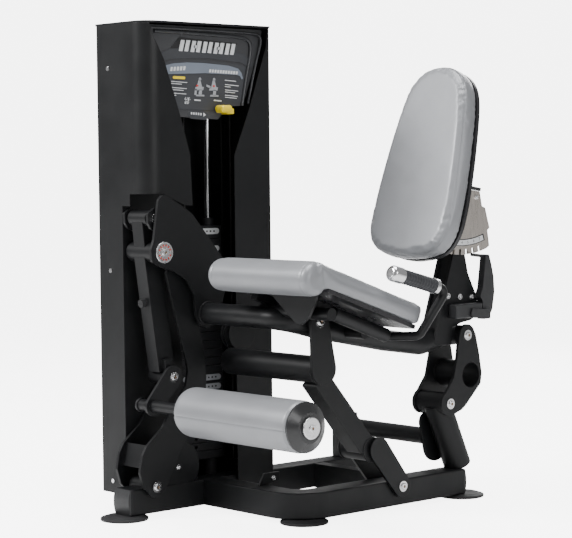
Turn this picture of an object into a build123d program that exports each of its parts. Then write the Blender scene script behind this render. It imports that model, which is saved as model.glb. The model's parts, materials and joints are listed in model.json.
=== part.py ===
from build123d import *
from math import cos, hypot, radians, sin
import os

os.makedirs("parts", exist_ok=True)

# Leg extension machine. mm, +Z up, +X from the weight tower to the seat, the user faces -Y.
# Shapes are laid out from the tower's front left corner; export() moves the origin to the
# bottom centre of the bounding box.
CENTRE_X = 460.5
CENTRE_Y = 452.0

# base frame
FOOT_H = 13.0
RAIL = 76.0
RAIL_TOP = 90.0
LEFT_X = 187.0
NEAR_X = 604.0
SWEEP_Y = 248.6
BEND_R = 82.0
REAR_END_Y = 905.0
LEFT_REAR_Y = 880.0
FRONT_END_Y = -60.0
FEET = [(LEFT_X, -58.0), (NEAR_X - 6, 276.0), (NEAR_X + 4, 925.0), (LEFT_X, 858.0), (75.0, 428.0)]
STAB_Y = 832.0
STAB_Z = 190.0

# tower
TOWER_X = 235.0
TOWER_Y = 485.0
TOWER_Z0 = 56.0
TOWER_Z1 = 1450.0
WALL = 3.0
BAY_X = 122.0
BAY_Z = 947.0

# weight stack
STACK_X = 74.0
STACK_Y = 272.0
PLATE = (88.0, 228.0, 25.0)
PLATE_PITCH = 26.0
FIXED_PLATES = 20
LIFTED_PLATES = 6
STACK_Z0 = 130.0
ROD_GAP = 92.0
ROD_R = 9.5
ROD_TOP = 1396.0

# linkage pivots (Y, Z)
BOOM_BASE = (14.0, 94.0)
BOOM_TOP = (23.0, 877.0)
KNEE = (36.8, 777.6)
ARM_LOW = (89.8, 409.5)
FRONT_LOW = (621.9, 71.6)
FRONT_TOP = (292.5, 581.3)
REAR_LOW = (828.8, 298.7)
REAR_TOP = (906.6, 503.2)
ROLLER = (17.0, 329.0)
BACK_PIVOT = (908.0, 1087.0)
LEVER_PIVOT = (918.0, 572.0)
PIN_R = 11.95
BORE_R = 12.0

# link plates, X
LINK_FAR = (530.0, 540.0)
LINK_NEAR = (645.0, 655.0)
BOOM_FAR = (127.0, 137.0)
BOOM_NEAR = (237.0, 247.0)
KNEE_PLATE = (258.0, 268.0)
ARM_X = (162.0, 212.0)
DROP_LINK = (230.0, 240.0)

# seat and back
SEAT_X = (418.0, 846.0)
SEAT_ROLL = (110.0, 718.0)
SEAT_ROLL_R = 48.0
SEAT_TILT = 19.8
SEAT_LEN = 418.0
SEAT_T = 58.0
SEAT_MID = 631.0
BACK_TILT = 17.0
BACK_LEN = 588.0
BACK_T = 62.0
BOARD_T = 12.0

# roller
PAD_R = 72.5
PAD_X = (399.0, 888.0)
CORE_R = 20.0

TILT = (cos(radians(SEAT_TILT)), -sin(radians(SEAT_TILT)))
LEAN = (sin(radians(BACK_TILT)), cos(radians(BACK_TILT)))


def export(name, shape):
    shape = shape.moved(Location((-CENTRE_X, -CENTRE_Y, 0)))
    export_step(shape, f"parts/{name}.step")


def box(x0, x1, y0, y1, z0, z1):
    size = (x1 - x0, y1 - y0, z1 - z0)
    return Pos((x0 + x1) / 2, (y0 + y1) / 2, (z0 + z1) / 2) * Box(*size)


def soft_box(x0, x1, y0, y1, z0, z1, r):
    solid = box(x0, x1, y0, y1, z0, z1)
    return fillet(solid.edges(), r)


def rod_x(centre, r, x0, x1):
    """Round bar along X."""
    return Pos((x0 + x1) / 2, centre[0], centre[1]) * Rot(0, 90, 0) * Cylinder(r, x1 - x0)


def rod_z(x, y, r, z0, z1):
    return Pos(x, y, (z0 + z1) / 2) * Cylinder(r, z1 - z0)


def sleeve_x(centre, r, bore, x0, x1):
    return rod_x(centre, r, x0, x1) - rod_x(centre, bore, x0 - 1, x1 + 1)


def outline(points):
    with BuildLine() as line:
        Polyline(*points, close=True)
    return make_face(line.line)


def plate(points, x0, x1, r=0):
    """Flat plate with a side outline in Y and Z, rounded corners."""
    face = outline(points)
    if r:
        face = fillet(face.vertices(), r)
    return Pos(x0, 0, 0) * extrude(Plane.YZ * face, x1 - x0)


def plate_y(points, y0, y1, r):
    """Plate whose (X, Z) outline is given, from y0 to y1."""
    face = Polygon(*points, align=None)
    face = fillet(face.vertices(), r)
    return Pos(0, y1, 0) * extrude(Plane.XZ * face, y1 - y0)


def bar_points(p, q, rp, rq):
    """Corners of the strap tangent to two end circles."""
    dy = q[0] - p[0]
    dz = q[1] - p[1]
    length = hypot(dy, dz)
    uy = dy / length
    uz = dz / length
    s = (rp - rq) / length
    c = (1 - s * s) ** 0.5
    corners = []
    for side, ends in ((1, ((p, rp), (q, rq))), (-1, ((q, rq), (p, rp)))):
        ny = uy * s - side * uz * c
        nz = uz * s + side * uy * c
        for centre, r in ends:
            corners.append((centre[0] + ny * r, centre[1] + nz * r))
    return corners


def strap(p, q, rp, rq, x0, x1):
    """Link plate with a round end about each point."""
    body = plate(bar_points(p, q, rp, rq), x0, x1)
    return body + rod_x(p, rp, x0, x1) + rod_x(q, rq, x0, x1)


def along(p, q, t, n=0.0):
    """Point at distance t from p towards q, n to the left of it."""
    dy = q[0] - p[0]
    dz = q[1] - p[1]
    length = hypot(dy, dz)
    return (p[0] + dy / length * t - dz / length * n, p[1] + dz / length * t + dy / length * n)


def tube(points, r, bend):
    """Round bar along a path with rounded corners."""
    with BuildLine() as line:
        FilletPolyline(*points, radius=bend)
    path = line.line
    start = path % 0
    profile = Plane(origin=path @ 0, z_dir=start) * Circle(r)
    return sweep(profile, path=path)


def bolt_x(centre, x, out, r=13.5):
    """Washer and domed socket screw head on a face, pointing along +X or -X."""
    washer = rod_x(centre, r, min(x, x + 3 * out), max(x, x + 3 * out))
    head = rod_x(centre, r * 0.62, min(x, x + 8 * out), max(x, x + 8 * out))
    head = fillet(head.edges().sort_by(Axis.X)[-1 if out > 0 else 0], 2.0)
    socket = rod_x(centre, r * 0.27, x + 4 * out - 4.5, x + 4 * out + 4.5)
    return washer + (head - socket)


def solids_of(*shapes):
    out = []
    for shape in shapes:
        out += shape.solids()
    return Compound(children=out)


# ---------------------------------------------------------------- base frame

def left_rail():
    rail = soft_box(LEFT_X - 38, LEFT_X + 38, FRONT_END_Y, LEFT_REAR_Y, FOOT_H, RAIL_TOP, 5)
    saddle = rod_x(BOOM_BASE, 24, LEFT_X - 38, LEFT_X + 38)
    return rail + saddle - rod_x(BOOM_BASE, BORE_R, 100, 300)


def vertex_at(face, at):
    return min(face.vertices(), key=lambda v: hypot(v.X - at[0], v.Y - at[1]))


def sweep_rail():
    """Near rail and the front rail it bends into."""
    half = RAIL / 2
    outer = (NEAR_X + half, SWEEP_Y - half)
    inner = (NEAR_X - half, SWEEP_Y + half)
    face = Polygon((LEFT_X + 38.2, outer[1]), outer, (outer[0], REAR_END_Y),
                   (inner[0], REAR_END_Y), inner, (LEFT_X + 38.2, inner[1]), align=None)
    face = fillet([vertex_at(face, outer)], BEND_R + half)
    face = fillet([vertex_at(face, inner)], BEND_R - half)
    rail = Pos(0, 0, FOOT_H) * extrude(face, RAIL_TOP - FOOT_H)
    rims = rail.faces().filter_by(Axis.Z).edges()
    ends = [e for e in rims if e.length < RAIL + 0.1 and e.geom_type == GeomType.LINE]
    rail = fillet([e for e in rims if e not in ends], 5)
    return rail - rod_x(FRONT_LOW, BORE_R, NEAR_X - 50, NEAR_X + 50)


def cross_rail():
    return box(LEFT_X + 38.2, NEAR_X - 38.2, 662, 702, FOOT_H, RAIL_TOP - 2)


def tower_rail():
    return box(6, LEFT_X - 38.2, 392, 464, FOOT_H, TOWER_Z0)


def rail_caps():
    caps = []
    for x, y, out in ((LEFT_X, FRONT_END_Y, -1), (NEAR_X, REAR_END_Y, 1), (LEFT_X, LEFT_REAR_Y, 1)):
        mid = (FOOT_H + RAIL_TOP) / 2
        dome = Pos(x, y - out * 96, mid) * Rot(0, 90, 0) * Cylinder(106, RAIL - 3)
        lo = min(y + out * 0.2, y + out * 16)
        keep = box(x - 37, x + 37, lo, lo + 15.8, FOOT_H + 1, RAIL_TOP - 1)
        caps.append(dome & keep)
    return solids_of(*caps)


def foot(x, y):
    base = Pos(x, y, 4) * Cylinder(70, 8)
    cone = Pos(x, y, 10.5) * Cone(67, 52, 5)
    return chamfer(base.edges(), 1.5) + cone


def feet():
    return solids_of(*[foot(x, y) for x, y in FEET])


def rear_post():
    foot_pt = (925.0, RAIL_TOP - 4)
    top = REAR_LOW
    drop = (foot_pt[0] - top[0], foot_pt[1] - top[1])
    with BuildLine() as line:
        Line((NEAR_X - 6, foot_pt[0] - drop[0] * 0.06, foot_pt[1] - drop[1] * 0.06),
             (NEAR_X - 6, top[0], top[1]))
    path = line.line
    post = sweep(Plane(origin=path @ 0, z_dir=path % 0) * Circle(42), path=path)
    keep = box(400, 800, 700, 1100, RAIL_TOP, 400)
    post = post & keep
    barrel = rod_x(REAR_LOW, 33, LINK_FAR[1] + 1, LINK_NEAR[0] - 1)
    clear = rod_x(REAR_LOW, 60, 400, LINK_FAR[1] + 1) + rod_x(REAR_LOW, 60, LINK_NEAR[0] - 1, 800)
    cut = rod_x(REAR_LOW, BORE_R, 400, 800)
    return post + barrel - clear - cut


def stabiliser_flange():
    return strap((829, 236), (868, 160), 28, 50, 547.4, 555.4)


def stabiliser():
    bar = rod_x((STAB_Y, STAB_Z), 25.5, LEFT_X, 547.4)
    stand = box(LEFT_X - 25, LEFT_X + 25, STAB_Y - 32, STAB_Y + 32, RAIL_TOP, STAB_Z + 40)
    return bar + stand


def cable_cover():
    """Rounded cover over the low pulley on the left rail."""
    disc = rod_x((115, 138), 80, 216, 224)
    return disc & box(210, 236, 20, 220, RAIL_TOP, 240)


def inner_bracket():
    return plate([(252, 90), (285, 90), (332, 98), (332, 124), (272, 124)], 424, 430)


def base_bolts():
    return solids_of(
        bolt_x((115, 138), 224, 1, 8),
        bolt_x((307, 108), 430, 1, 8),
        bolt_x((827, 234), 547.4, -1, 8),
        bolt_x((862, 166), 547.4, -1, 8))


# ---------------------------------------------------------------- tower

def tower_shell():
    face = Pos(TOWER_X / 2, TOWER_Y / 2) * Rectangle(TOWER_X, TOWER_Y)
    corner = face.vertices().sort_by_distance((TOWER_X, 0, 0))[0]
    face = fillet(corner, 55)
    rest = [v for v in face.vertices() if v.X < 1 or v.Y > TOWER_Y - 1]
    face = fillet(rest, 9)
    outer = extrude(face, TOWER_Z1 - TOWER_Z0 - 6)
    inner = extrude(offset(face, -WALL), TOWER_Z1)
    return Pos(0, 0, TOWER_Z0) * (outer - Pos(0, 0, -10) * inner)


def v_opening():
    """Side opening: a wide V at the top that narrows to a slot."""
    edge = [(24, 1452), (38, 1402), (74, 1337), (133, 1171), (167, 1060), (174, 905), (174, 40),
            (338, 40), (338, 1059), (402, 1204), (470, 1388), (478, 1452)]
    return plate(edge, TOWER_X - 20, TOWER_X + 5)


def bay_cut():
    """Corner bay that the exercise arm and its link stand and swing in."""
    low = [(-5, 40), (338, 40), (338, 905), (150, 912), (-5, 912)]
    high = [(-5, 900), (174, 900), (60, BAY_Z), (-5, BAY_Z)]
    return plate(low, BAY_X, TOWER_X + 5) + plate(high, 158, TOWER_X + 5)


def shroud():
    shell = tower_shell() - v_opening() - bay_cut()
    liner = box(BAY_X - WALL, BAY_X, WALL, 150, TOWER_Z0, BAY_Z)
    return shell + liner


def top_cap():
    face = Pos(TOWER_X / 2, TOWER_Y / 2) * Rectangle(TOWER_X - 1, TOWER_Y - 1)
    corner = face.vertices().sort_by_distance((TOWER_X, 0, 0))[0]
    face = fillet(corner, 54)
    cap = Pos(0, 0, TOWER_Z1 - 6) * extrude(face, 6)
    return cap


def floor_plate():
    return box(WALL + 1, BAY_X - WALL - 1, 6, 478, TOWER_Z0, TOWER_Z0 + 8)


def placard():
    """Moulded panel set back under the top of the side opening."""
    edge = [(12, 1440), (478, 1440), (470, 1400), (398, 1208), (330, 1206), (300, 1166), (132, 1174), (66, 1337)]
    return plate(edge, 200, 206, 4)


def placard_header():
    edge = [(62, 1352), (120, 1372), (260, 1378), (400, 1366), (440, 1340), (432, 1322), (392, 1338),
            (262, 1348), (120, 1342), (70, 1330)]
    return plate(edge, 206.3, 208.3, 3)


def placard_sheet():
    edge = [(76, 1326), (122, 1336), (262, 1342), (392, 1332), (428, 1316), (396, 1220), (342, 1216),
            (326, 1192), (136, 1196)]
    return plate(edge, 206.3, 207.5, 4)


def guide_rods():
    front = rod_z(STACK_X, STACK_Y - ROD_GAP, ROD_R, TOWER_Z0 + 8, ROD_TOP)
    rear = rod_z(STACK_X, STACK_Y + ROD_GAP, ROD_R, TOWER_Z0 + 8, 1280)
    return solids_of(front, rear)


def head_frame():
    """Cross plate that holds the tops of the rods and the upper pulleys."""
    bar = box(20, 116, 120, 478, ROD_TOP, ROD_TOP + 12)
    cheeks = []
    for x in (STACK_X - 19, STACK_X + 13):
        cheeks.append(box(x, x + 6, 296, 470, 1280, ROD_TOP))
    rod_seat = box(STACK_X - 19, STACK_X + 19, 345, 383, 1280, 1291)
    frame = bar + cheeks[0] + cheeks[1] + rod_seat
    for y in (STACK_Y + 45, 412):
        frame -= rod_x((y, 1340), 6.05, 40, 110)
    return frame


def stack_bumpers():
    return solids_of(*[
        rod_z(STACK_X, STACK_Y + s * ROD_GAP, 22, TOWER_Z0 + 8, STACK_Z0)
        - rod_z(STACK_X, STACK_Y + s * ROD_GAP, ROD_R + 0.6, 40, 200)
        for s in (-1, 1)])


def weight_plate(z):
    sx, sy, sz = PLATE
    slab = Pos(STACK_X, STACK_Y, z + sz / 2) * Box(sx, sy, sz)
    slab = chamfer(slab.edges().filter_by(Axis.Z), 8)
    slab = chamfer(slab.faces().filter_by(Axis.Z).edges(), 1.2)
    for s in (-1, 1):
        slab -= rod_z(STACK_X, STACK_Y + s * ROD_GAP, ROD_R + 1.5, z - 1, z + sz + 1)
    slab -= rod_z(STACK_X, STACK_Y, 13.5, z - 1, z + sz + 1)
    slab -= rod_x((STACK_Y, z + sz / 2), 5.5, STACK_X, STACK_X + sx)
    return slab


def fixed_stack():
    return solids_of(*[weight_plate(STACK_Z0 + i * PLATE_PITCH) for i in range(FIXED_PLATES)])


def lifted_stack():
    z0 = STACK_Z0 + FIXED_PLATES * PLATE_PITCH
    return solids_of(*[weight_plate(z0 + i * PLATE_PITCH) for i in range(LIFTED_PLATES)])


def head_plate():
    z0 = STACK_Z0 + (FIXED_PLATES + LIFTED_PLATES) * PLATE_PITCH
    slab = Pos(STACK_X, STACK_Y, z0 + 19) * Box(PLATE[0], PLATE[1], 38)
    slab = chamfer(slab.edges().filter_by(Axis.Z), 8)
    for s in (-1, 1):
        y = STACK_Y + s * ROD_GAP
        slab += rod_z(STACK_X, y, 17, z0 + 38, z0 + 62)
        slab -= rod_z(STACK_X, y, ROD_R + 0.05, z0 - 1, z0 + 80)
    slab -= rod_z(STACK_X, STACK_Y, 12, z0 - 1, z0 + 30)
    neck = rod_z(STACK_X, STACK_Y, 15, z0 + 30, z0 + 66)
    return slab + neck


def stem():
    """Drilled selector stem that hangs from the head plate through the stack."""
    z1 = STACK_Z0 + (FIXED_PLATES + LIFTED_PLATES) * PLATE_PITCH + 30
    z0 = STACK_Z0 + FIXED_PLATES * PLATE_PITCH - 90
    bar = rod_z(STACK_X, STACK_Y, 12, z0, z1)
    for i in range(LIFTED_PLATES + 3):
        bar -= rod_x((STACK_Y, z0 + 22 + i * PLATE_PITCH + 3.5), 5.2, 50, 100)
    return bar


def selector_pin():
    z = STACK_Z0 + FIXED_PLATES * PLATE_PITCH + PLATE[2] / 2
    shank = rod_x((STACK_Y, z), 4.6, STACK_X + 13, STACK_X + 58)
    grip = rod_x((STACK_Y, z), 13, STACK_X + 46, STACK_X + 66)
    return shank + fillet(grip.edges(), 3)


def top_pulleys():
    wheels = []
    for y in (STACK_Y + 45, 412):
        wheel = rod_x((y, 1340), 45, STACK_X - 12, STACK_X + 12)
        ring = rod_x((y, 1340), 60, STACK_X - 4, STACK_X + 4) - rod_x((y, 1340), 41, STACK_X - 5, STACK_X + 5)
        hub = rod_x((y, 1340), 6, STACK_X - 22, STACK_X + 22)
        wheels.append(wheel - ring + hub)
    return wheels


def lift_cable_run():
    z0 = STACK_Z0 + (FIXED_PLATES + LIFTED_PLATES) * PLATE_PITCH + 66
    return rod_z(STACK_X, STACK_Y + 0.5, 2.6, z0, 1340)


def lift_cable_return():
    """Cable over the two upper pulleys and down behind the stack."""
    y0 = STACK_Y + 0.5
    r = 44.5
    with BuildLine() as line:
        a = CenterArc((STACK_Y + 45, 1340), r, 180, -90)
        b = Line(a @ 1, (412, 1340 + r))
        c = CenterArc((412, 1340), r, 90, -90)
        Line(c @ 1, (412 + r, 110))
    path = Plane.YZ * line.line
    path = Pos(STACK_X, 0, 0) * path
    profile = Plane(origin=(STACK_X, y0, 1340), z_dir=(0, 0, 1)) * Circle(2.6)
    return sweep(profile, path=path)


def cable_anchor():
    return box(STACK_X - 14, STACK_X + 14, 436, 477, TOWER_Z0 + 8, 110)


def add_on_weight():
    """Small sliding weight on the rear rod, with a pull knob."""
    y = STACK_Y + ROD_GAP
    block = soft_box(STACK_X - 26, STACK_X + 44, y - 38, y + 26, 1176, 1214, 4)
    block -= rod_z(STACK_X, y, ROD_R + 0.05, 1100, 1300)
    return block


def add_on_knob():
    shank = rod_x((338, 1190), 7.5, STACK_X + 44, 214)
    lug = soft_box(212, 226, 316, 347, 1182, 1199, 3)
    knob = soft_box(212, 251, 280, 322, 1185, 1208, 9)
    return shank + lug + knob


def mid_pulley():
    c = (377, 518)
    wheel = rod_x(c, 50, 172, 194)
    ring = rod_x(c, 60, 179, 187) - rod_x(c, 44, 178, 188)
    return wheel - ring - rod_x(c, 8.05, 160, 210)


def mid_pulley_bracket():
    c = (377, 518)
    back = box(160, 210, 474, 481, 484, 552)
    arm = box(204, 210, 360, 480, 490, 546)
    pin = rod_x(c, 8, 166, 210)
    return arm + back + pin


def pulley_cover():
    """Rounded cover on the outside of the tower wall."""
    disc = rod_x((352, 522), 52, 240, 245)
    return disc + box(236.2, 240, 350, 396, 500, 545)


def tower_screws():
    """Panel screws with domed heads on the front face."""
    heads = []
    for x, z in ((61, 1317), (58, 92), (61, 720)):
        dome = Pos(x, -1.2, z) * Rot(90, 0, 0) * Cylinder(6.5, 2.4)
        heads.append(dome)
    return solids_of(*heads)


# ---------------------------------------------------------------- boomerang link

def boom_outline(x0, x1):
    front = [(-2, 862), (8, 846), (40, 834), (66, 812), (78, 778), (72, 742), (62, 716), (90, 610), (136, 446),
             (139, 424), (130, 380), (103, 349), (68, 305), (40, 264), (8, 238), (-18, 216), (-34, 190), (-44, 140),
             (-30, 94)]
    back = [(14, 60), (46, 79), (81, 143), (125, 221), (176, 290), (204, 350), (208, 400), (204, 460), (186, 540),
            (160, 640), (140, 740), (120, 812), (88, 862), (50, 900), (22, 908), (-4, 892)]
    return plate(front + back, x0, x1, 7)


def boom_plate(span):
    body = boom_outline(*span)
    body += rod_x(BOOM_BASE, 32, *span)
    return body


def boom_web():
    """Cross plate between the two boomerang plates."""
    x0 = BOOM_FAR[1]
    x1 = BOOM_NEAR[0]
    return plate([(-24, 150), (-12, 150), (6, 212), (-6, 216)], x0, x1)


def boom_pin():
    return rod_x(BOOM_BASE, PIN_R, BOOM_FAR[0], BOOM_NEAR[1] + 3)


def boom_bolts():
    return solids_of(bolt_x(BOOM_BASE, BOOM_NEAR[1] + 3, 1, 16))


def boom_top_bolts():
    near = rod_x(BOOM_TOP, 14, BOOM_NEAR[1], BOOM_NEAR[1] + 6)
    return solids_of(near, rod_x(BOOM_TOP, 14, BOOM_FAR[0] - 3, BOOM_FAR[0]))


# ---------------------------------------------------------------- exercise arm

def arm_bar():
    half = 29
    pts = [along(KNEE, ARM_LOW, 10, half), along(KNEE, ARM_LOW, 10, -half),
           along(KNEE, ARM_LOW, 354, -half), along(KNEE, ARM_LOW, 354, half)]
    bar = plate(pts, *ARM_X)
    ext = plate([along(BOOM_TOP, KNEE, 8, 22), along(BOOM_TOP, KNEE, 8, -22),
                 along(BOOM_TOP, KNEE, 90, -24), along(BOOM_TOP, KNEE, 90, 24)], *ARM_X)
    knee = rod_x(KNEE, 30, 128, 254)
    top = rod_x(BOOM_TOP, 23, 146, 228)
    low = rod_x(ARM_LOW, 23, 148, 227)
    body = bar + ext + knee + top + low
    return body - rod_x(KNEE, BORE_R, 100, 300) - rod_x(ARM_LOW, BORE_R, 100, 300)


def arm_bumper():
    at = along(KNEE, ARM_LOW, 146, -29)
    tip = along(KNEE, ARM_LOW, 146, -47)
    with BuildLine() as line:
        Line((187, at[0], at[1]), (187, tip[0], tip[1]))
    path = line.line
    return sweep(Plane(origin=path @ 0, z_dir=path % 0) * Circle(12), path=path)


def arm_stop_lug():
    a = along(ARM_LOW, KNEE, 20, 14)
    b = along(ARM_LOW, KNEE, 20, -12)
    c = along(ARM_LOW, KNEE, 54, -12)
    d = along(ARM_LOW, KNEE, 54, 14)
    return plate([a, b, c, d], 212, 226)


# ---------------------------------------------------------------- roller link

def drop_link():
    body = strap(ARM_LOW, ROLLER, 33, 29, *DROP_LINK)
    return body


def roller_shaft():
    housing = rod_x(ROLLER, 17, 182, PAD_X[0] - 4)
    spindle = rod_x(ROLLER, PIN_R, PAD_X[0] - 4, 908)
    knob = fillet(rod_x(ROLLER, 21, 172, 182).edges(), 2.5)
    return housing + spindle + knob


def drop_pin():
    return rod_x(ARM_LOW, PIN_R, 145, DROP_LINK[0])


def drop_bolts():
    return solids_of(bolt_x(ARM_LOW, DROP_LINK[1], 1, 15), bolt_x(ARM_LOW, 145, -1, 15))


def roller_pad():
    pad = rod_x(ROLLER, PAD_R, *PAD_X)
    pad = fillet(pad.edges().sort_by(Axis.X)[0], 30)
    pad = fillet(pad.edges().sort_by(Axis.X)[-1], 8)
    return pad - rod_x(ROLLER, CORE_R, 300, 950)


def roller_core():
    core = rod_x(ROLLER, CORE_R, PAD_X[0] - 2, PAD_X[1] + 2)
    return core - rod_x(ROLLER, BORE_R, 300, 950)


def roller_cap():
    x0 = PAD_X[1]
    disc = rod_x(ROLLER, 69, x0, x0 + 5)
    cone = Pos(x0 + 13, ROLLER[0], ROLLER[1]) * Rot(0, 90, 0) * Cone(69, 42, 16)
    return disc + cone - rod_x(ROLLER, CORE_R, x0 - 5, x0 + 2) - rod_x(ROLLER, BORE_R, x0 - 5, 950)


def roller_disc():
    disc = fillet(rod_x(ROLLER, 30, 911, 917).edges().sort_by(Axis.X)[-1], 2.5)
    hub = rod_x(ROLLER, PIN_R, 908, 911)
    head = fillet(rod_x(ROLLER, 10, 917, 921).edges().sort_by(Axis.X)[-1], 1.5)
    return disc + hub + head - rod_x(ROLLER, 4, 918, 925)


# ---------------------------------------------------------------- front link

def front_upper():
    low = (308.0, 445.0)
    return strap(FRONT_TOP, low, 33, 46, *LINK_NEAR)


def front_bar():
    pts = [(330, 434), (510, 224), (462, 183), (282, 396)]
    return plate(pts, 586, 645, 6)


def front_tube():
    return rod_x((302, 442), 39.5, 249, LINK_NEAR[0])


def front_knuckle():
    return rod_x((505, 192), 35, LINK_FAR[1], LINK_NEAR[0])


def front_lower():
    near = strap((527, 190), FRONT_LOW, 37, 33, *LINK_NEAR)
    far = strap((527, 190), FRONT_LOW, 37, 33, 553, 563)
    return solids_of(near, far)


def front_spacer():
    return rod_x((527, 190), 20, 563, LINK_NEAR[0])


def front_pins():
    return solids_of(
        rod_x(FRONT_LOW, PIN_R, 550, LINK_NEAR[1]),
        rod_x(FRONT_TOP, PIN_R, LINK_FAR[1] + 1, LINK_NEAR[1]))


def front_bolts():
    return solids_of(
        bolt_x(FRONT_LOW, LINK_NEAR[1], 1, 16),
        bolt_x(FRONT_TOP, LINK_NEAR[1], 1, 16))


# ---------------------------------------------------------------- rear link

def rear_plate(span):
    pts = [(872, 506), (866, 470), (862, 439), (846, 376), (807, 328), (790, 306), (796, 280), (836, 262),
           (880, 276), (899, 289), (966, 351), (971, 383), (959, 447), (943, 508), (906, 536)]
    body = plate(pts, *span, 12)
    body += rod_x(REAR_TOP, 33, *span) + rod_x(REAR_LOW, 38, *span)
    return body - rod_x((921, 380), 38, 400, 800)


def rear_cross():
    return sleeve_x((921, 380), 42, 38, LINK_FAR[1], LINK_NEAR[0])


def rear_pin():
    return rod_x(REAR_LOW, PIN_R, LINK_FAR[0] - 4, LINK_NEAR[1])


def rear_bolts():
    return solids_of(
        bolt_x(REAR_LOW, LINK_NEAR[1], 1, 16),
        bolt_x(REAR_TOP, LINK_NEAR[1], 1, 16),
        bolt_x(REAR_TOP, LINK_FAR[0], -1, 16))


# ---------------------------------------------------------------- carriage

def knee_plate():
    pts = [(20, 930), (34, 944), (52, 941), (112, 909), (146, 887), (257, 758), (286, 706), (262, 640), (245, 592),
           (228, 560), (200, 548), (170, 558), (154, 592), (150, 650), (120, 696), (74, 722), (30, 734), (-6, 752),
           (-9, 786), (2, 815)]
    body = plate(pts, *KNEE_PLATE, 9)
    return body


def knee_pin():
    return rod_x(KNEE, PIN_R, 124, KNEE_PLATE[0])


def knee_disc():
    disc = fillet(rod_x(KNEE, 31, KNEE_PLATE[1], KNEE_PLATE[1] + 5).edges().sort_by(Axis.X)[-1], 1.5)
    hub = rod_x(KNEE, 15, KNEE_PLATE[1] + 5, KNEE_PLATE[1] + 7)
    head = rod_x(KNEE, 10, KNEE_PLATE[1] + 7, KNEE_PLATE[1] + 11)
    return disc + hub + head - rod_x(KNEE, 4, KNEE_PLATE[1] + 6, KNEE_PLATE[1] + 20)


def main_beam():
    """Round tube that runs across from the knee plate and turns back under the seat."""
    pts = [(KNEE_PLATE[1], 200, 592), (600, 200, 592), (600, 330, 559), (600, 600, 505), (600, 752, 482),
           (600, 850, 502), (600, 905, 503)]
    beam = tube(pts, 32, 60)
    keep = box(200, 700, 100, 905, 400, 700)
    return beam & keep


def front_barrel():
    return sleeve_x(FRONT_TOP, 27, BORE_R, LINK_FAR[1] + 1, LINK_NEAR[0] - 1)


def rear_barrel():
    return rod_x(REAR_TOP, 29, LINK_FAR[1] + 1, LINK_NEAR[0] - 1)


def seat_gusset():
    """Rounded ear that hangs under the front roll, ahead of the beam."""
    return plate_y([(575, 673), (776, 673), (764, 640), (738, 603), (712, 584), (690, 586), (655, 611)], 158, 168, 7)


def seat_rails():
    """Two channels under the seat board, joined to the beam by risers."""
    rails = []
    for x in (510, 690):
        a = seat_pt(80, -SEAT_T - BOARD_T)
        b = seat_pt(400, -SEAT_T - BOARD_T)
        c = seat_pt(400, -SEAT_T - BOARD_T - 26)
        d = seat_pt(80, -SEAT_T - BOARD_T - 26)
        rails.append(plate([a, b, c, d], x - 12, x + 12))
    return solids_of(*rails)


def seat_cross():
    a = seat_pt(128, -SEAT_T - BOARD_T - 26)
    b = seat_pt(352, -SEAT_T - BOARD_T - 26)
    return solids_of(rod_x((a[0], a[1] - 16), 18, 498, 788), rod_x((b[0], b[1] - 12), 16, 498, 702))


def seat_pt(s, n):
    """Point on the seat: s back from the front roll, n above the top face."""
    y0 = SEAT_ROLL[0] - TILT[1] * SEAT_ROLL_R
    z0 = SEAT_ROLL[1] + TILT[0] * SEAT_ROLL_R
    return (y0 + TILT[0] * s - TILT[1] * n, z0 + TILT[1] * s + TILT[0] * n)


def seat_pad():
    slab = plate([seat_pt(-6, 0), seat_pt(SEAT_LEN, 0), seat_pt(SEAT_LEN, -SEAT_T), seat_pt(-6, -SEAT_T)], *SEAT_X)
    slab = fillet(slab.edges().filter_by(Axis.X).sort_by(Axis.Y)[-2:], 14)
    roll = rod_x(SEAT_ROLL, SEAT_ROLL_R, *SEAT_X)
    roll = fillet(roll.edges(), 24)
    return slab + roll


def seat_board():
    pts = [seat_pt(54, -SEAT_T - 0.1), seat_pt(SEAT_LEN - 8, -SEAT_T - 0.1),
           seat_pt(SEAT_LEN - 8, -SEAT_T - BOARD_T), seat_pt(54, -SEAT_T - BOARD_T)]
    return plate(pts, SEAT_X[0] + 8, SEAT_X[1] - 8)


def handle_socket():
    """Round sleeve beside the seat rail that holds the handle."""
    with BuildLine() as line:
        Line((770, 232, 615), (770, 440, 540))
    path = line.line
    return sweep(Plane(origin=path @ 0, z_dir=path % 0) * Circle(20), path=path)


def handlebar():
    """Tube that leaves the sleeve, turns up beside the seat and back towards the user's hand."""
    pts = [(770, 400, 554.4), (770, 452, 535.7), (852, 492, 540), (868, 590, 666), (868, 390, 718.5)]
    return tube(pts, 12.7, 18)


def grip_line():
    return ((868, 548, 677), (868, 388, 719))


def grip_sleeve(t0, t1, r, bore):
    a, b = grip_line()
    d = [b[i] - a[i] for i in range(3)]
    p = [a[i] + d[i] * t0 for i in range(3)]
    q = [a[i] + d[i] * t1 for i in range(3)]
    with BuildLine() as line:
        Line(tuple(p), tuple(q))
    path = line.line
    frame = Plane(origin=path @ 0, z_dir=path % 0)
    ring = sweep(frame * Circle(r), path=path)
    if bore:
        ring -= sweep(frame * Circle(bore), path=path)
    return ring


def hand_grip():
    return grip_sleeve(0.10, 0.90, 20.5, 12.7)


def grip_ring():
    return grip_sleeve(0.02, 0.10, 23, 12.7)


def grip_cap():
    cap = grip_sleeve(0.90, 1.16, 23, 0)
    return fillet(cap.edges().sort_by(Axis.Y)[0], 12)


def lean_pt(base, t, n):
    return (base[0] + LEAN[0] * t + LEAN[1] * n, base[1] + LEAN[1] * t - LEAN[0] * n)


POST_FOOT = (826.0, 496.0)
POST_KNEE = (898.0, 742.0)


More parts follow.
